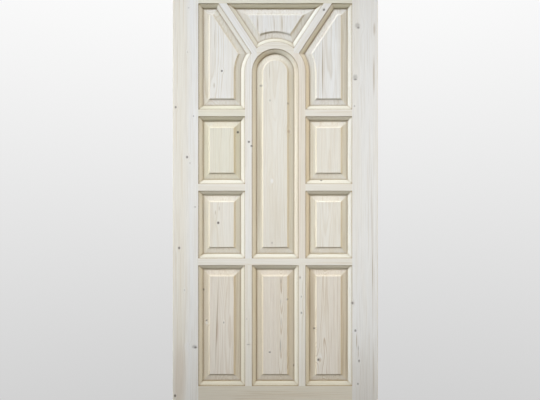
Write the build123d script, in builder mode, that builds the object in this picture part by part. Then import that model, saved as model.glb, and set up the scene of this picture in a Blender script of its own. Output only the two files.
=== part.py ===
from build123d import *
import os
from math import cos, radians, sin

# A panelled door leaf in solid pine, 27 pieces. The hinge edge lies in the plane x = 0, the leaf runs to
# +X, its front faces -Y and its bottom edge stands at z = 0. All lengths are in millimetres.

# Driving dimensions: the leaf and its members, each with its moulded edges
leaf_width = 900.0
leaf_height = 2000.0
leaf_thickness = 40.0
stile_width = 130.0
top_rail_width = 130.0
bottom_rail_width = 226.0
bar_width = 66.0
arris_radius = 2.5

# Driving dimensions: openings, from moulded edge to moulded edge
lower_panel_height = 494.0
small_panel_height = 261.0
fan_panel_height = 133.0
diagonal_lean = 33.5
crown_end_trim = 3.0

# Driving dimensions: the moulding and the groove along a member's edge
moulding_width = 18.0
moulding_depth = 12.5
moulding_bulge = 1.5
quirk_depth = 2.5
groove_width = 8.0
groove_depth = 12.0

# Driving dimensions: the raised panels
panel_thickness = 28.0
bevel_width = 25.0
step_width = 7.0
step_height = 6.0
tongue_clearance = 0.2
tongue_end_gap = 2.0

# Places that follow from them
centre_x = leaf_width / 2
half_leaf = leaf_thickness / 2
column_width = (leaf_width - 2 * stile_width - 2 * bar_width) / 3
muntin_left = stile_width + column_width
muntin_right = muntin_left + bar_width
lock_rail_low = bottom_rail_width + lower_panel_height
lock_rail_high = lock_rail_low + bar_width
lower_cross_low = lock_rail_high + small_panel_height
upper_cross_low = lower_cross_low + bar_width + small_panel_height
upper_cross_high = upper_cross_low + bar_width
top_rail_low = leaf_height - top_rail_width
arch_inner = column_width / 2
arch_outer = arch_inner + bar_width
arch_z = top_rail_low - fan_panel_height - arch_outer
lean = radians(diagonal_lean)
shoulder_z = arch_z + arch_outer * sin(lean)
seam_x = muntin_right + crown_end_trim
tongue_reach = groove_depth - tongue_end_gap
tongue_half = groove_width / 2 - tongue_clearance
past_leaf = leaf_width + leaf_height

centre_plane = Plane.YZ.offset(centre_x)
arch_axis = Axis((centre_x, 0, arch_z), (0, 1, 0))
shoulder_plane = Plane.XY.offset(shoulder_z)
seam_plane = Plane.YZ.offset(seam_x)


def across_rails(x):
    """Plane square to the rails at x, its own X running up the leaf."""
    return Plane(origin=(x, 0, 0), x_dir=(0, 0, 1), z_dir=(1, 0, 0))


def across_diagonal(side):
    """Plane square to the diagonal left (-1) or right (1) of the centre, its own X running up across it."""
    return Plane(
        origin=(centre_x + side * arch_outer * cos(lean), 0, shoulder_z),
        x_dir=(-side * cos(lean), 0, sin(lean)),
        z_dir=(side * sin(lean), 0, cos(lean)),
    )


def moulded_edge(sight, inward):
    """Upper half of a grooved and moulded edge, from the groove to the flat of the face."""
    land = half_leaf - moulding_depth
    brow = sight + inward * moulding_width
    chord = Vector(brow, half_leaf - quirk_depth) - Vector(sight, land)
    middle = Vector(sight, land) + chord / 2 + chord.normalized().rotate(Axis.Z, 90 * inward) * moulding_bulge
    Polyline(
        (sight + inward * groove_depth, 0),
        (sight + inward * groove_depth, groove_width / 2),
        (sight, groove_width / 2),
        (sight, land),
    )
    ThreePointArc((sight, land), middle, (brow, half_leaf - quirk_depth))
    Line((brow, half_leaf - quirk_depth), (brow, half_leaf))
    return brow, half_leaf


def plain_edge(edge, inward):
    """Upper half of a square edge with an eased arris."""
    eased = edge + inward * arris_radius, half_leaf
    Line((edge, 0), (edge, half_leaf - arris_radius))
    TangentArc((edge, half_leaf - arris_radius), eased, tangent=(0, 1))
    return eased


def raised_edge(sight, inward):
    """Upper half of a panel's edge: tongue, bevel, steep step, up to the field."""
    bevel_top = sight + inward * bevel_width, panel_thickness / 2 - step_height
    field = sight + inward * (bevel_width + step_width), panel_thickness / 2
    Polyline(
        (sight - inward * tongue_reach, 0),
        (sight - inward * tongue_reach, tongue_half),
        (sight, tongue_half),
        bevel_top,
        field,
    )
    return field


def open_edge(edge, inward):
    """Upper half of a panel's section where it runs on past the edge that another section gives."""
    Line((edge, 0), (edge, panel_thickness / 2))
    return edge, panel_thickness / 2


def section(plane, low, high, low_edge, high_edge):
    """Cross-section from low to high along the plane's X, alike on both faces of the leaf."""
    with BuildSketch(plane) as profile:
        with BuildLine():
            Line(low_edge(low, 1), high_edge(high, -1))
            mirror(about=Plane.XZ)
        make_face()
    return profile.sketch


# Stiles, the full height of the leaf
with BuildPart() as left_stile:
    extrude(section(Plane.XY, 0, stile_width, plain_edge, moulded_edge), amount=leaf_height)

with BuildPart() as right_stile:
    mirror(left_stile.part, about=centre_plane)


def rail(low, high, low_edge, high_edge, start_x, end_x, coped_to):
    """Level member from one neighbour's brow to the other's, coped over their mouldings."""
    with BuildPart() as piece:
        extrude(section(across_rails(start_x), low, high, low_edge, high_edge), amount=end_x - start_x)
        for neighbour in coped_to:
            add(neighbour.part, mode=Mode.SUBTRACT)
    return piece


# Rails between the stiles
stile_brow = stile_width - moulding_width
stiles = (left_stile, right_stile)
top_rail = rail(
    top_rail_low, leaf_height, moulded_edge, plain_edge, stile_brow, leaf_width - stile_brow, stiles
)
bottom_rail = rail(
    0, bottom_rail_width, plain_edge, moulded_edge, stile_brow, leaf_width - stile_brow, stiles
)
lock_rail = rail(
    lock_rail_low, lock_rail_high, moulded_edge, moulded_edge, stile_brow, leaf_width - stile_brow, stiles
)

# Muntins: the lower ones stand between the rails, the upper ones carry the arch on their heads
with BuildPart() as lower_left_muntin:
    foot = Plane.XY.offset(bottom_rail_width - moulding_width)
    extrude(
        section(foot, muntin_left, muntin_right, moulded_edge, moulded_edge),
        amount=lower_panel_height + 2 * moulding_width,
    )
    add(bottom_rail.part, mode=Mode.SUBTRACT)
    add(lock_rail.part, mode=Mode.SUBTRACT)

with BuildPart() as left_muntin:
    foot = Plane.XY.offset(lock_rail_high - moulding_width)
    extrude(
        section(foot, muntin_left, muntin_right, moulded_edge, moulded_edge),
        amount=arch_z - lock_rail_high + moulding_width,
    )
    springing = Plane.XY.offset(arch_z)
    revolve(
        section(springing, muntin_left, muntin_right, moulded_edge, moulded_edge),
        axis=arch_axis,
        revolution_arc=90,
    )
    split(bisect_by=shoulder_plane, keep=Keep.BOTTOM)
    split(bisect_by=seam_plane, keep=Keep.BOTTOM)
    add(lock_rail.part, mode=Mode.SUBTRACT)

with BuildPart() as lower_right_muntin:
    mirror(lower_left_muntin.part, about=centre_plane)

with BuildPart() as right_muntin:
    mirror(left_muntin.part, about=centre_plane)

# Crown of the arch, one block between the muntin heads
with BuildPart() as arch_crown:
    revolve(
        section(Plane.XY.offset(arch_z), muntin_left, muntin_right, moulded_edge, moulded_edge),
        axis=arch_axis,
        revolution_arc=180,
    )
    split(bisect_by=seam_plane, keep=Keep.TOP)
    split(bisect_by=Plane.YZ.offset(leaf_width - seam_x), keep=Keep.BOTTOM)

# Diagonals, from the muntin heads out to the top rail
diagonal_length = (top_rail_low + moulding_width - shoulder_z) / cos(lean)
with BuildPart() as left_diagonal:
    extrude(
        section(across_diagonal(-1).offset(-bar_width), 0, bar_width, moulded_edge, moulded_edge),
        amount=bar_width + diagonal_length,
    )
    split(bisect_by=shoulder_plane, keep=Keep.TOP)
    add(arch_crown.part, mode=Mode.SUBTRACT)
    add(top_rail.part, mode=Mode.SUBTRACT)

with BuildPart() as right_diagonal:
    mirror(left_diagonal.part, about=centre_plane)


def side_rail(low):
    """Cross rail between the left stile and the left muntin."""
    end_x = muntin_left + moulding_width
    return rail(
        low, low + bar_width, moulded_edge, moulded_edge, stile_brow, end_x, (left_stile, left_muntin)
    )


lower_left_cross_rail = side_rail(lower_cross_low)
upper_left_cross_rail = side_rail(upper_cross_low)

with BuildPart() as lower_right_cross_rail:
    mirror(lower_left_cross_rail.part, about=centre_plane)

with BuildPart() as upper_right_cross_rail:
    mirror(upper_left_cross_rail.part, about=centre_plane)


def square_panel(left, low, height):
    """Raised panel in a rectangular opening one column wide."""
    with BuildPart() as piece:
        extrude(
            section(Plane.XY.offset(low - groove_depth), left, left + column_width, raised_edge, raised_edge),
            amount=height + 2 * groove_depth,
        )
        extrude(
            section(across_rails(left - groove_depth), low, low + height, raised_edge, raised_edge),
            amount=column_width + 2 * groove_depth,
            mode=Mode.INTERSECT,
        )
    return piece


bottom_left_panel = square_panel(stile_width, bottom_rail_width, lower_panel_height)
bottom_centre_panel = square_panel(muntin_right, bottom_rail_width, lower_panel_height)
left_middle_lower_panel = square_panel(stile_width, lock_rail_high, small_panel_height)
left_middle_upper_panel = square_panel(stile_width, lower_cross_low + bar_width, small_panel_height)

with BuildPart() as bottom_right_panel:
    mirror(bottom_left_panel.part, about=centre_plane)

with BuildPart() as right_middle_lower_panel:
    mirror(left_middle_lower_panel.part, about=centre_plane)

with BuildPart() as right_middle_upper_panel:
    mirror(left_middle_upper_panel.part, about=centre_plane)

# Tall centre panel with a round head
with BuildPart() as arched_centre_panel:
    foot = Plane.XY.offset(lock_rail_high - groove_depth)
    extrude(
        section(foot, muntin_right, muntin_right + column_width, raised_edge, raised_edge),
        amount=arch_z - lock_rail_high + groove_depth,
    )
    revolve(
        section(Plane.XY.offset(arch_z), muntin_right, centre_x, raised_edge, open_edge),
        axis=arch_axis,
        revolution_arc=180,
    )
    extrude(
        section(
            across_rails(muntin_left), lock_rail_high, arch_z + arch_outer, raised_edge, open_edge
        ),
        amount=column_width + 2 * bar_width,
        mode=Mode.INTERSECT,
    )

# Fan panel over the crown, between the diagonals
with BuildPart() as top_centre_panel:
    revolve(
        section(Plane.XY.offset(arch_z), centre_x - past_leaf, centre_x - arch_outer, open_edge, raised_edge),
        axis=arch_axis,
        revolution_arc=180,
    )
    extrude(
        section(across_rails(0), arch_z, top_rail_low, open_edge, raised_edge),
        amount=leaf_width,
        mode=Mode.INTERSECT,
    )
    for side in (-1, 1):
        extrude(
            section(across_diagonal(side).offset(-past_leaf), bar_width, past_leaf, raised_edge, open_edge),
            amount=2 * past_leaf,
            mode=Mode.INTERSECT,
        )

# Panel beside the arch, cut off by the diagonal and hollowed by the arch
with BuildPart() as upper_left_panel:
    extrude(
        section(Plane.XY.offset(upper_cross_low), 0, muntin_left, open_edge, raised_edge),
        amount=arch_z - upper_cross_low,
    )
    revolve(
        section(Plane.XY.offset(arch_z), centre_x - past_leaf, muntin_left, open_edge, raised_edge),
        axis=arch_axis,
        revolution_arc=90,
    )
    extrude(
        section(across_rails(0), upper_cross_high, top_rail_low, raised_edge, raised_edge),
        amount=centre_x,
        mode=Mode.INTERSECT,
    )
    extrude(
        section(Plane.XY.offset(upper_cross_low), stile_width, centre_x, raised_edge, open_edge),
        amount=leaf_height - upper_cross_low,
        mode=Mode.INTERSECT,
    )
    extrude(
        section(across_diagonal(-1).offset(-past_leaf), -past_leaf, 0, open_edge, raised_edge),
        amount=2 * past_leaf,
        mode=Mode.INTERSECT,
    )

with BuildPart() as upper_right_panel:
    mirror(upper_left_panel.part, about=centre_plane)

pieces = {
    "left_stile": left_stile,
    "right_stile": right_stile,
    "top_rail": top_rail,
    "bottom_rail": bottom_rail,
    "lock_rail": lock_rail,
    "left_muntin": left_muntin,
    "right_muntin": right_muntin,
    "lower_left_muntin": lower_left_muntin,
    "lower_right_muntin": lower_right_muntin,
    "arch_crown": arch_crown,
    "left_diagonal": left_diagonal,
    "right_diagonal": right_diagonal,
    "lower_left_cross_rail": lower_left_cross_rail,
    "upper_left_cross_rail": upper_left_cross_rail,
    "lower_right_cross_rail": lower_right_cross_rail,
    "upper_right_cross_rail": upper_right_cross_rail,
    "top_centre_panel": top_centre_panel,
    "upper_left_panel": upper_left_panel,
    "upper_right_panel": upper_right_panel,
    "arched_centre_panel": arched_centre_panel,
    "left_middle_upper_panel": left_middle_upper_panel,
    "left_middle_lower_panel": left_middle_lower_panel,
    "right_middle_upper_panel": right_middle_upper_panel,
    "right_middle_lower_panel": right_middle_lower_panel,
    "bottom_left_panel": bottom_left_panel,
    "bottom_centre_panel": bottom_centre_panel,
    "bottom_right_panel": bottom_right_panel,
}

os.makedirs("parts", exist_ok=True)
for name, piece in pieces.items():
    piece.part.label = name
    export_step(piece.part, f"parts/{name}.step")
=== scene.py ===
from dataclasses import dataclass
from math import radians

import bmesh
import bpy
from mathutils import Euler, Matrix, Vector

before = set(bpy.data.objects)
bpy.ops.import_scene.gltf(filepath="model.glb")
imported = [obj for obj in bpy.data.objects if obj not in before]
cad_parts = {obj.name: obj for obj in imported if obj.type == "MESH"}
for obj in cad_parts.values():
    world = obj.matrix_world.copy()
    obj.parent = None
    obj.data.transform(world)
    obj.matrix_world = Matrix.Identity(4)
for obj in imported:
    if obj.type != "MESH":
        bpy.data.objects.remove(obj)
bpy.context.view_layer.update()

# The looks of a panelled pine door leaf. It is 0.9 m wide along +X and 2 m tall along +Z, and its front
# faces -Y. Lengths in the boards and in their material are in millimetres, all others in metres.

MILLIMETRE = 0.001
scene = bpy.context.scene


def linear(code):
    """The linear colour of an sRGB hex code, with full alpha."""
    shares = [int(code[place : place + 2], 16) / 255 for place in (1, 3, 5)]
    return [s / 12.92 if s <= 0.04045 else ((s + 0.055) / 1.055) ** 2.4 for s in shares] + [1.0]


def add(tree, kind, inputs=None, **settings):
    """Adds a shader node and returns its outputs; an input takes a value or another node's output."""
    made = tree.nodes.new(kind)
    for name, value in settings.items():
        setattr(made, name, value)
    for key, value in (inputs or {}).items():
        if isinstance(value, bpy.types.NodeSocket):
            tree.links.new(value, made.inputs[key])
        else:
            made.inputs[key].default_value = value
    return made.outputs


# Pine, in six tones. Of each pair the first is the pale wood of spring, the second the darker line of summer
PALE, CREAM, WARM, COOL, TAN, STRAW = "pale", "cream", "warm", "cool", "tan", "straw"
TONES = {
    PALE: ("#ecebe6", "#d0c4ab"),
    CREAM: ("#ebe8de", "#cdbd9f"),
    WARM: ("#eae4d8", "#b9a17f"),
    COOL: ("#ecece9", "#cec6b6"),
    TAN: ("#ded8c8", "#bea987"),
    STRAW: ("#e6e3d3", "#c6b894"),
}

# Inks of the marks: a knot, resin, reddish wood and pale bare wood
KNOT = "#544c43"
RESIN = "#a4916e"
RED = "#a8836c"
BARE = "#f6f6f4"

# Broad clouds of darker wood, and the warm tan of the painted shade in corners
CLOUD = "#ddd3bd"
CORNER_SHADE = "#b29a6d"

# Painted shade on sloping faces, a tint for the shade of mouldings and bevels: to the sides, on level
# slopes, and the strength of the painted corner shade beside them
FRAME_SHADE_TINTS = ("#f8f5eb", "#f6f7f3", 0.9)
PANEL_SHADE_TINTS = ("#fffaed", "#fffdf9", 0.5)

# Noise drawn out along the grain: its width, its length and its detail. Real fibres are far finer, and
# these are as coarse as they need to be to show
FIELDS = {
    "drift": (150, 520, 1),
    "ripple": (24, 160, 1),
    "cloud": (48, 640, 2),
    "fibre": (1.3, 90, 2),
}
# The noise of the strands, drawn out in the same way
STRAND_WIDTH = 5
STRAND_LENGTH = 380

# How far drift and ripple move the rings across the log, the ripple last
SWAYS = {"drift": 16, "ripple": 3.0}

# Logs lie this far apart along the grain in the noise, so that no two boards are alike
LOG_SPACING = 7000
# Heartwood turns to sapwood over twice this distance
SAPWOOD_EDGE = 14
# A mark that is longer than this many widths is a streak or a stain, and bends no growth lines
STREAK_STRETCH = 4
# Painted shade: a corner is darkened within this distance of the next face
CORNER_SHADE_REACH = 10


@dataclass
class Mark:
    """A knot, a streak or a stain: its place on the leaf, its width, its length over its width, its strength
    and its ink."""

    x: float
    z: float
    width: float
    stretch: float = 1.2
    strength: float = 0.7
    ink: str = KNOT


@dataclass
class Board:
    """A board out of a log. The heart is a point on the log's axis, and the lean and the tilt turn that
    axis, in degrees. The ring is the width of a year's growth, and the contrast the strength of its line.
    Strands are the strength of the threads between the lines. The sapwood, which is paler, starts that
    far from the axis."""

    tone: str
    heart: tuple
    ring: float = 2.2
    contrast: float = 0.4
    lean: float = 0.0
    tilt: float = 0.2
    strands: float = 0.34
    sapwood: float = 900.0
    marks: tuple = ()


BOARDS = {
    "left_stile": Board(
        CREAM, (-75, 60, 1000), contrast=0.45, sapwood=157.0,
        marks=(
            Mark(13, 1432, 10), Mark(63, 1213, 11, 1.2, 0.8), Mark(28, 814, 11, 1.2, 0.85),
            Mark(95, 380, 24, 0.7, 0.4), Mark(100, 377, 14, 0.7, 0.7), Mark(10, 165, 12, 1.2, 0.9),
            Mark(70, 1869, 8, 1.2, 0.25), Mark(65, 1674, 7, 1.2, 0.2), Mark(91, 1393, 8, 1.2, 0.4),
            Mark(75, 1187, 7, 1.2, 0.3), Mark(52, 629, 8, 1.2, 0.25), Mark(98, 994, 13, 0.4, 0.5),
            Mark(30, 250, 60, 5.5, 0.18, RED),
        ),
    ),
    "right_stile": Board(
        COOL, (985, 50, 1000), contrast=0.45, tilt=-0.2,
        marks=(
            Mark(811, 1790, 24, 1.1, 0.34), Mark(815, 1781, 13, 0.8, 0.55), Mark(801, 1564, 24, 1.1, 0.34),
            Mark(802, 1554, 17, 0.5, 0.6), Mark(798, 1437, 8, 1.0, 0.45), Mark(789, 572, 12, 1.2, 0.7),
            Mark(802, 451, 11, 1.2, 0.7), Mark(808, 405, 5, 14, 0.65, RESIN), Mark(818, 318, 8, 1.7, 0.75),
            Mark(815, 350, 4, 10, 0.45, RESIN), Mark(813, 217, 9, 1.2, 0.65), Mark(815, 374, 5, 5, 0.4),
            Mark(885, 1775, 11, 5.6, 0.4, RESIN), Mark(883, 1571, 9, 20, 0.5, RESIN),
            Mark(873, 980, 5, 79, 0.3, RESIN), Mark(878, 717, 6, 29, 0.4, RESIN),
            Mark(881, 278, 6, 44, 0.35, RESIN), Mark(878, 740, 8, 85, 0.22, RESIN),
            # Painted shade: a broad, warm, darker tone over the stile's foot that grows darker towards the
            # bottom, where the light falls off
            Mark(840, 0, 200, 4.1, 0.24, RESIN),
        ),
    ),
    "top_rail": Board(STRAW, (450, 40, 2030), lean=90),
    "bottom_rail": Board(TAN, (450, 55, 60), ring=2.4, contrast=0.5, lean=90),
    "lock_rail": Board(CREAM, (450, 70, 680), lean=90),
    "left_muntin": Board(
        PALE, (260, 60, 1100),
        marks=(Mark(334, 1280, 11, 1.0, 0.9), Mark(346, 1262, 12, 0.8, 0.8)),
    ),
    "right_muntin": Board(WARM, (650, 60, 1100), contrast=0.5),
    "lower_left_muntin": Board(
        CREAM, (430, 50, 500),
        marks=(Mark(324, 502, 7, 0.8, 0.3), Mark(332, 390, 16, 0.4, 0.35)),
    ),
    "lower_right_muntin": Board(
        CREAM, (480, 60, 500),
        marks=(
            Mark(559, 684, 9, 1.2, 0.4), Mark(565, 600, 7, 1.2, 0.4), Mark(565, 529, 9, 1.3, 0.55),
            Mark(595, 590, 10, 18, 0.35, RED),
        ),
    ),
    "arch_crown": Board(CREAM, (450, 60, 1600), lean=90, tilt=0.3),
    "left_diagonal": Board(COOL, (230, 60, 1750), lean=-33.5),
    "right_diagonal": Board(PALE, (690, 60, 1750), lean=33.5, marks=(Mark(664, 1860, 11, 1.2, 0.9),)),
    "lower_left_cross_rail": Board(CREAM, (200, 60, 1020), lean=90, tilt=0.3),
    "upper_left_cross_rail": Board(STRAW, (200, 60, 1470), lean=90, tilt=0.3),
    "lower_right_cross_rail": Board(
        CREAM, (690, 60, 1140), lean=90, tilt=0.3,
        marks=(Mark(653, 1112, 9, 1.2, 0.85),),
    ),
    "upper_right_cross_rail": Board(CREAM, (690, 60, 1350), lean=90, tilt=0.3),
    "top_centre_panel": Board(
        COOL, (465, 110, 1800), ring=2.6, contrast=0.6, lean=-1.5, tilt=0.6, strands=0.5,
        marks=(
            Mark(481, 1800, 5, 16, 0.7, RESIN), Mark(446, 1800, 5, 14, 0.4, RESIN),
            Mark(372, 1800, 5, 16, 0.65, RESIN), Mark(408, 1760, 5, 9, 0.4, RESIN),
        ),
    ),
    "upper_left_panel": Board(
        PALE, (172, 110, 1600), ring=2.6, contrast=0.75, tilt=0.5, strands=0.35,
        marks=(
            Mark(215, 1593, 10, 1.0, 0.85), Mark(181, 1529, 10, 2.5, 0.35, RESIN),
            Mark(183, 1737, 5, 22, 0.35, RESIN), Mark(199, 1730, 5, 20, 0.2, RESIN),
        ),
    ),
    "upper_right_panel": Board(
        COOL, (690, 130, 1560), ring=2.6, contrast=0.6, tilt=0.4, strands=0.5,
        marks=(Mark(659, 1605, 6, 42, 0.75, RESIN),),
    ),
    "arched_centre_panel": Board(
        CREAM, (450, 120, 1200), ring=2.6, contrast=0.3, strands=0.25,
        marks=(
            Mark(388, 1529, 17, 0.7, 0.4), Mark(427, 1463, 9, 1.2, 0.3), Mark(506, 1450, 9, 1.2, 0.4),
            Mark(436, 836, 8, 1.2, 0.4), Mark(424, 1590, 5, 16, 0.4, RESIN),
            Mark(436, 1108, 15, 1.6, 0.7, BARE), Mark(510, 1327, 15, 1.2, 0.35, RED),
            Mark(377, 1150, 30, 22, 0.34, RESIN), Mark(450, 830, 150, 4.1, 0.1, RESIN),
        ),
    ),
    "left_middle_upper_panel": Board(
        STRAW, (230, 100, 1240), ring=2.6, contrast=0.3, tilt=0.4, strands=0.25,
        marks=(Mark(285, 1324, 12, 1.0, 0.95),),
    ),
    "left_middle_lower_panel": Board(
        CREAM, (180, 100, 910), ring=2.6, contrast=0.35, tilt=0.4, strands=0.28,
        marks=(
            Mark(199, 924, 12, 1.1, 0.95), Mark(203, 987, 5, 4.5, 0.45, RESIN),
            Mark(186, 969, 5, 4.5, 0.45, RESIN),
        ),
    ),
    "right_middle_upper_panel": Board(CREAM, (690, 100, 1240), ring=2.6, contrast=0.3, tilt=0.4),
    "right_middle_lower_panel": Board(CREAM, (670, 100, 910), ring=2.6, contrast=0.35, tilt=0.4),
    "bottom_left_panel": Board(
        WARM, (252, 66, 470), ring=3.6, contrast=0.6, lean=1.8, tilt=0.3, strands=0.25,
        marks=(
            Mark(133, 629, 11, 1.0, 0.6), Mark(148, 483, 13, 1.3, 0.4, BARE), Mark(147, 493, 9, 0.8, 0.6),
            Mark(223, 485, 7, 1.4, 0.5), Mark(195, 447, 11, 11, 0.4, RED),
            Mark(193, 475, 6, 70, 0.6, RESIN),
        ),
    ),
    "bottom_centre_panel": Board(
        WARM, (475, 8, 470), ring=2.4, contrast=0.9, tilt=1.6, strands=0.15,
        marks=(
            Mark(426, 355, 10, 0.8, 0.75), Mark(503, 587, 9, 1.2, 0.4), Mark(532, 294, 9, 1.2, 0.5),
            Mark(474, 384, 5, 13, 0.4), Mark(476, 489, 5, 9, 0.3), Mark(474, 577, 5, 6, 0.25),
            Mark(475, 668, 5, 5, 0.3),
        ),
    ),
    "bottom_right_panel": Board(
        WARM, (668, 30, 470), ring=2.4, contrast=0.8, tilt=-0.9, strands=0.4,
        marks=(
            Mark(610, 470, 26, 22, 0.34, RESIN), Mark(622, 458, 10, 0.9, 0.8),
            Mark(650, 335, 17, 2.2, 0.3, BARE), Mark(640, 321, 11, 1.2, 0.85),
        ),
    ),
}


def grain_fields(tree, own):
    """The fields of noise in one log."""
    fields = {}
    for field, (width, length, detail) in FIELDS.items():
        drawn = add(
            tree, "ShaderNodeVectorMath", {0: own, 1: (1 / width, 1 / width, 1 / length)},
            operation="MULTIPLY",
        )[0]
        fields[field] = add(
            tree, "ShaderNodeTexNoise",
            {"Vector": drawn, "Scale": 1.0, "Detail": detail, "Roughness": 0.5},
        )
    return fields


def sway(tree, place, fields):
    """The log isn't round: its rings drift slowly and ripple a little. Gives the new place and the
    ripple."""
    for field, reach in SWAYS.items():
        swayed = add(
            tree, "ShaderNodeVectorMath", {0: fields[field]["Color"], 1: (0.5, 0.5, 0.5)},
            operation="SUBTRACT",
        )[0]
        swayed = add(
            tree, "ShaderNodeVectorMath", {0: swayed, 1: (reach, reach, 0)}, operation="MULTIPLY"
        )[0]
        place = add(tree, "ShaderNodeVectorMath", {0: place, 1: swayed})[0]
    return place, swayed


def bend_round_knots(tree, board, turn, in_log, place, ripple):
    """Knots push the lines aside, streaks and stains don't, and the ripple frays the outlines of them all.
    Gives the new place and each mark with the distance from it, in half widths."""
    marks = []
    for mark in board.marks:
        spot = turn.to_matrix().transposed() @ (Vector((mark.x, 0, mark.z)) - Vector(board.heart))
        half = mark.width / 2
        streak = mark.stretch > STREAK_STRETCH
        fray = 1.5 if streak else 0.5
        off = add(
            tree, "ShaderNodeVectorMath", {0: in_log, 1: (spot.x, 0, spot.z)}, operation="SUBTRACT"
        )[0]
        shares = add(
            tree, "ShaderNodeVectorMath", {0: off, 1: (1 / half, 0, 1 / (half * mark.stretch))},
            operation="MULTIPLY",
        )[0]
        frayed = add(
            tree, "ShaderNodeVectorMath", {0: ripple, 1: (fray / half, 0, 0), 2: shares},
            operation="MULTIPLY_ADD",
        )[0]
        away = add(tree, "ShaderNodeVectorMath", {0: frayed}, operation="LENGTH")["Value"]
        marks.append((mark, away))
        if streak:
            continue
        # The pattern close to a knot is drawn out sideways, so that its lines part round it
        push = add(
            tree, "ShaderNodeMapRange",
            {"Value": away, "From Min": 0.5, "From Max": 4.5, "To Min": -0.85, "To Max": 0.0},
            interpolation_type="SMOOTHSTEP",
        )[0]
        aside = add(tree, "ShaderNodeVectorMath", {0: off, "Scale": push}, operation="SCALE")[0]
        place = add(
            tree, "ShaderNodeVectorMath", {0: aside, 1: (1, 0, 0), 2: place}, operation="MULTIPLY_ADD"
        )[0]
    return place, marks


def growth_lines(tree, board, radius):
    """A year's ring: pale spring wood that darkens slowly to the summer line, which ends at once. Some
    years' lines are stronger than others."""
    years = add(tree, "ShaderNodeMath", {0: radius, 1: board.ring}, operation="DIVIDE")[0]
    season = add(tree, "ShaderNodeMath", {0: years}, operation="FRACT")[0]
    year = add(tree, "ShaderNodeMath", {0: years}, operation="FLOOR")[0]
    vigour = add(tree, "ShaderNodeTexWhiteNoise", {"W": year}, noise_dimensions="1D")["Value"]
    rise = add(
        tree, "ShaderNodeMapRange",
        {"Value": season, "From Min": 0.5, "From Max": 0.9, "To Min": 0.0, "To Max": board.contrast},
        interpolation_type="SMOOTHSTEP",
    )[0]
    fall = add(
        tree, "ShaderNodeMapRange",
        {"Value": season, "From Min": 0.9, "From Max": 1.0, "To Min": 1.0, "To Max": 0.0},
    )[0]
    strength = add(tree, "ShaderNodeMapRange", {"Value": vigour, "To Min": 0.25, "To Max": 1.0})[0]
    line = add(tree, "ShaderNodeMath", {0: rise, 1: fall}, operation="MULTIPLY")[0]
    return add(tree, "ShaderNodeMath", {0: line, 1: strength}, operation="MULTIPLY")[0]


def threads(tree, board, bent):
    """Strands: darker threads between the growth lines, which bend as the lines do."""
    drawn = add(
        tree, "ShaderNodeVectorMath",
        {0: bent, 1: (1 / STRAND_WIDTH, 1 / STRAND_WIDTH, 1 / STRAND_LENGTH)}, operation="MULTIPLY",
    )[0]
    strand = add(tree, "ShaderNodeTexNoise", {"Vector": drawn, "Scale": 1.0, "Detail": 1.0})["Fac"]
    return add(
        tree, "ShaderNodeMapRange",
        {"Value": strand, "From Min": 0.53, "From Max": 0.7, "To Min": 0.0, "To Max": board.strands},
    )[0]


def wood_colour(tree, board, line, radius, fields):
    """Heartwood in the board's tone that turns to cool sapwood further out, with darker lines, broad clouds
    and fine fibres."""
    outer = add(
        tree, "ShaderNodeMapRange",
        {
            "Value": radius,
            "From Min": board.sapwood - SAPWOOD_EDGE,
            "From Max": board.sapwood + SAPWOOD_EDGE,
        },
    )[0]
    woods = []
    for heartwood, sapwood in zip(TONES[board.tone], TONES[COOL]):
        wood = add(
            tree, "ShaderNodeMix", {"Factor": outer, 6: linear(heartwood), 7: linear(sapwood)},
            data_type="RGBA",
        )[2]
        woods.append(wood)
    colour = add(tree, "ShaderNodeMix", {"Factor": line, 6: woods[0], 7: woods[1]}, data_type="RGBA")[2]
    cloudy = add(
        tree, "ShaderNodeMapRange",
        {"Value": fields["cloud"]["Fac"], "From Min": 0.42, "From Max": 0.72, "To Min": 0.0, "To Max": 0.25},
    )[0]
    colour = add(
        tree, "ShaderNodeMix", {"Factor": cloudy, 6: colour, 7: linear(CLOUD)}, data_type="RGBA"
    )[2]
    fibre = add(
        tree, "ShaderNodeMapRange",
        {"Value": fields["fibre"]["Fac"], "From Min": 0.3, "From Max": 0.7, "To Min": 0.94, "To Max": 1.04},
    )[0]
    return add(tree, "ShaderNodeVectorMath", {0: colour, "Scale": fibre}, operation="SCALE")[0]


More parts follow.
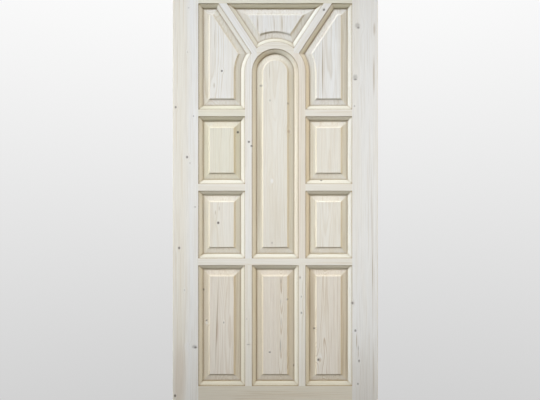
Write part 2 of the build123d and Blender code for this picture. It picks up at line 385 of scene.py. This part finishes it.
def paint_slope_and_corner_shade(tree, colour, normal, panel):
    """Painted shade: mouldings and bevels get a warmer, darker tint that depends on the way they face, and
    corners near other faces are darkened towards a warm tan, in place of the shade that falls there. Away
    from corners the flats keep the wood's own colour. A slope's tint goes by whether it faces to a side or
    up. A slope that faces down counts as up on a panel and as a side on the frame."""
    # A face is flat up to about 4 degrees from the front or the back, and a slope from about 8 degrees on
    facing = add(tree, "ShaderNodeSeparateXYZ", {0: normal})["Y"]
    facing = add(tree, "ShaderNodeMath", {0: facing}, operation="ABSOLUTE")[0]
    slope = add(
        tree, "ShaderNodeMapRange",
        {"Value": facing, "From Min": 0.99, "From Max": 0.998, "To Min": 1.0, "To Max": 0.0},
    )[0]
    side, level, corner_shade_strength = PANEL_SHADE_TINTS if panel else FRAME_SHADE_TINTS
    upward = add(tree, "ShaderNodeVectorMath", {0: normal, 1: (1, 0, 1)}, operation="MULTIPLY")[0]
    upward = add(tree, "ShaderNodeVectorMath", {0: upward}, operation="NORMALIZE")[0]
    upward = add(tree, "ShaderNodeSeparateXYZ", {0: upward})["Z"]
    upward = add(
        tree, "ShaderNodeMath", {0: upward, 1: 0.0}, operation="ABSOLUTE" if panel else "MAXIMUM"
    )[0]
    tint = add(
        tree, "ShaderNodeMix", {"Factor": upward, 6: linear(side), 7: linear(level)}, data_type="RGBA"
    )[2]
    # Painted shade: near another face the colour is darkened towards a warm tan, standing in for the shade
    # in corners and creases
    openness = add(
        tree, "ShaderNodeAmbientOcclusion", {"Distance": CORNER_SHADE_REACH * MILLIMETRE}, samples=8
    )["AO"]
    corner_shade = add(
        tree, "ShaderNodeMapRange",
        {"Value": openness, "From Min": 0.79, "From Max": 0.93, "To Min": corner_shade_strength, "To Max": 0.0},
    )[0]
    # Both painted shades are multiplied into the wood's colour: the tint on the slopes and the warm tan in
    # the corners
    for share, tone in ((slope, tint), (corner_shade, linear(CORNER_SHADE))):
        deeper = add(
            tree, "ShaderNodeMix", {"Factor": 1.0, 6: colour, 7: tone}, data_type="RGBA",
            blend_type="MULTIPLY",
        )[2]
        colour = add(tree, "ShaderNodeMix", {"Factor": share, 6: colour, 7: deeper}, data_type="RGBA")[2]
    return colour


def ink_marks(tree, colour, marks):
    """Knots, streaks and stains, over flats and slopes alike."""
    for mark, away in marks:
        dark = add(
            tree, "ShaderNodeMapRange",
            {"Value": away, "From Min": 0.3, "From Max": 1.3, "To Min": mark.strength, "To Max": 0.0},
            interpolation_type="SMOOTHSTEP",
        )[0]
        colour = add(
            tree, "ShaderNodeMix", {"Factor": dark, 6: colour, 7: linear(mark.ink)}, data_type="RGBA"
        )[2]
    return colour


def pine(name, board, number):
    """Bare planed pine: pale matt wood with nested growth lines along the grain, fine fibres, and knots that
    the lines bend round. The number gives each board a log of its own."""
    material = bpy.data.materials.new(f"bare_pine_{name}")
    material.use_nodes = True
    tree = material.node_tree
    tree.nodes.clear()
    turn = Euler((radians(board.tilt), radians(board.lean), 0))
    heart = Vector(board.heart) * MILLIMETRE
    coordinates = add(tree, "ShaderNodeTexCoord")
    in_log = add(
        tree, "ShaderNodeMapping",
        {"Vector": coordinates["Object"], "Location": heart, "Rotation": turn, "Scale": [MILLIMETRE] * 3},
        vector_type="TEXTURE",
    )[0]
    log = (0, 0, LOG_SPACING * number)
    own = add(tree, "ShaderNodeVectorMath", {0: in_log, 1: log})[0]
    fields = grain_fields(tree, own)
    place, ripple = sway(tree, in_log, fields)
    place, marks = bend_round_knots(tree, board, turn, in_log, place, ripple)

    across = add(tree, "ShaderNodeVectorMath", {0: place, 1: (1, 1, 0)}, operation="MULTIPLY")[0]
    radius = add(tree, "ShaderNodeVectorMath", {0: across}, operation="LENGTH")["Value"]
    line = growth_lines(tree, board, radius)
    bent = add(tree, "ShaderNodeVectorMath", {0: place, 1: log})[0]
    strand = threads(tree, board, bent)
    line = add(tree, "ShaderNodeMath", {0: line, 1: strand}, operation="MAXIMUM")[0]

    colour = wood_colour(tree, board, line, radius, fields)
    # Painted shade on the mouldings and bevels and in the corners
    colour = paint_slope_and_corner_shade(tree, colour, coordinates["Normal"], name.endswith("_panel"))
    colour = ink_marks(tree, colour, marks)

    # Lines and fibres stand a little proud of the planed face
    raised = add(tree, "ShaderNodeMath", {0: line, 1: fields["fibre"]["Fac"]})[0]
    relief = add(
        tree, "ShaderNodeBump", {"Strength": 0.25, "Distance": 0.15 * MILLIMETRE, "Height": raised}
    )[0]
    surface = add(
        tree, "ShaderNodeBsdfPrincipled",
        {"Base Color": colour, "Roughness": 0.62, "Specular IOR Level": 0.3, "Normal": relief},
    )[0]
    add(tree, "ShaderNodeOutputMaterial", {"Surface": surface})
    return material


for number, (name, board) in enumerate(BOARDS.items()):
    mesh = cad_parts[name].data
    mesh.materials.clear()
    mesh.materials.append(pine(name, board, number))

# Floor: a plain disc a millimetre under the leaf
FLOOR_RADIUS = 2.2
FLOOR_MIDDLE = (0.45, -0.4, -0.001)
floor_mesh = bpy.data.meshes.new("floor")
shape = bmesh.new()
bmesh.ops.create_circle(shape, cap_ends=True, segments=96, radius=FLOOR_RADIUS)
bmesh.ops.translate(shape, vec=FLOOR_MIDDLE, verts=shape.verts)
shape.to_mesh(floor_mesh)
shape.free()
floor = bpy.data.objects.new("floor", floor_mesh)
scene.collection.objects.link(floor)

# Matt floor paint: pale grey to the eye, fading out round the leaf, and darker in the light that it
# throws back
floor_paint = bpy.data.materials.new("pale_floor_paint")
floor_paint.use_nodes = True
tree = floor_paint.node_tree
tree.nodes.clear()
where = add(tree, "ShaderNodeTexCoord")["Object"]
from_middle = add(
    tree, "ShaderNodeMapping", {"Vector": where, "Location": (0.45, -0.35, 0), "Scale": (1.15, 0.72, 1.0)},
    vector_type="TEXTURE",
)[0]
away = add(tree, "ShaderNodeVectorMath", {0: from_middle}, operation="LENGTH")["Value"]
seen = add(
    tree, "ShaderNodeMapRange",
    {"Value": away, "From Min": 0.35, "From Max": 0.9, "To Min": 1.0, "To Max": 0.0},
    interpolation_type="SMOOTHSTEP",
)[0]
ray = add(tree, "ShaderNodeLightPath")
tone = add(
    tree, "ShaderNodeMix", {"Factor": ray["Is Camera Ray"], 6: linear("#524d45"), 7: linear("#b9b8b6")},
    data_type="RGBA",
)[2]
matt = add(tree, "ShaderNodeBsdfDiffuse", {"Color": tone})[0]
clear = add(tree, "ShaderNodeBsdfTransparent")[0]
faded = add(tree, "ShaderNodeMixShader", {0: seen, 1: clear, 2: matt})[0]
add(tree, "ShaderNodeOutputMaterial", {"Surface": faded})
floor_mesh.materials.append(floor_paint)

# Surroundings: a white wall that shades to light grey for the eye, and soft light from overhead for the wood
world = bpy.data.worlds.new("studio")
world.use_nodes = True
scene.world = world
tree = world.node_tree
tree.nodes.clear()
direction = add(tree, "ShaderNodeTexCoord")["Object"]
height = add(tree, "ShaderNodeSeparateXYZ", {0: direction})["Z"]
up = add(tree, "ShaderNodeMapRange", {"Value": height, "From Min": -0.37, "From Max": 0.37})[0]
wall = add(
    tree, "ShaderNodeMix", {"Factor": up, 6: linear("#d0d0d0"), 7: linear("#fbfbfb")}, data_type="RGBA"
)[2]
overhead = add(tree, "ShaderNodeMapRange", {"Value": height, "From Min": 0.2, "From Max": 0.9})[0]
air = add(
    tree, "ShaderNodeMix", {"Factor": overhead, 6: linear("#38362f"), 7: linear("#cdcdcc")}, data_type="RGBA"
)[2]
ray = add(tree, "ShaderNodeLightPath")
shown = ray["Is Camera Ray"]
for kind in ("Is Glossy Ray", "Is Transmission Ray"):
    shown = add(tree, "ShaderNodeMath", {0: shown, 1: ray[kind]}, operation="MAXIMUM")[0]
light = add(tree, "ShaderNodeMix", {"Factor": shown, 6: air, 7: wall}, data_type="RGBA")[2]
background = add(tree, "ShaderNodeBackground", {"Color": light, "Strength": 1.0})[0]
add(tree, "ShaderNodeOutputWorld", {"Surface": background})

# Lamps: a broad one high in front, one that rakes across from the left, a weak one from the right and one
# behind
for name, size, spread, energy, tint, place, target in (
    ("front_lamp", 2.6, 34, 16.8, "#f0f5ff", (-1.1, -3.1, 3.55), (0.5, 0, 1.28)),
    ("left_lamp", 2.0, 50, 12.0, "#f4f8ff", (-3.0, -1.0, 2.05), (0.7, 0, 1.12)),
    ("right_lamp", 2.0, 50, 8.6, "#fbe2b2", (3.9, -1.0, 1.75), (0.2, 0, 1.02)),
    ("back_lamp", 2.6, 80, 34.0, "#f8faff", (1.9, 3.6, 1.7), (0.45, 0, 1.0)),
):
    lamp = bpy.data.lights.new(name, "AREA")
    lamp.shape = "SQUARE"
    lamp.size = size
    lamp.spread = radians(spread)
    lamp.energy = energy
    lamp.color = linear(tint)[:3]
    stand = bpy.data.objects.new(name, lamp)
    stand.location = place
    stand.rotation_euler = (Vector(target) - stand.location).to_track_quat("-Z", "Y").to_euler()
    scene.collection.objects.link(stand)

# Camera: level and square to the leaf, a little left of its middle
camera_data = bpy.data.cameras.new("front_camera")
camera_data.sensor_width = 36.0
camera_data.lens = 33.4
camera = bpy.data.objects.new("front_camera", camera_data)
camera.location = (0.427, -2.22, 1.0245)
camera.rotation_euler = (radians(90), 0, 0)
scene.collection.objects.link(camera)
scene.camera = camera
scene.view_settings.view_transform = "Standard"
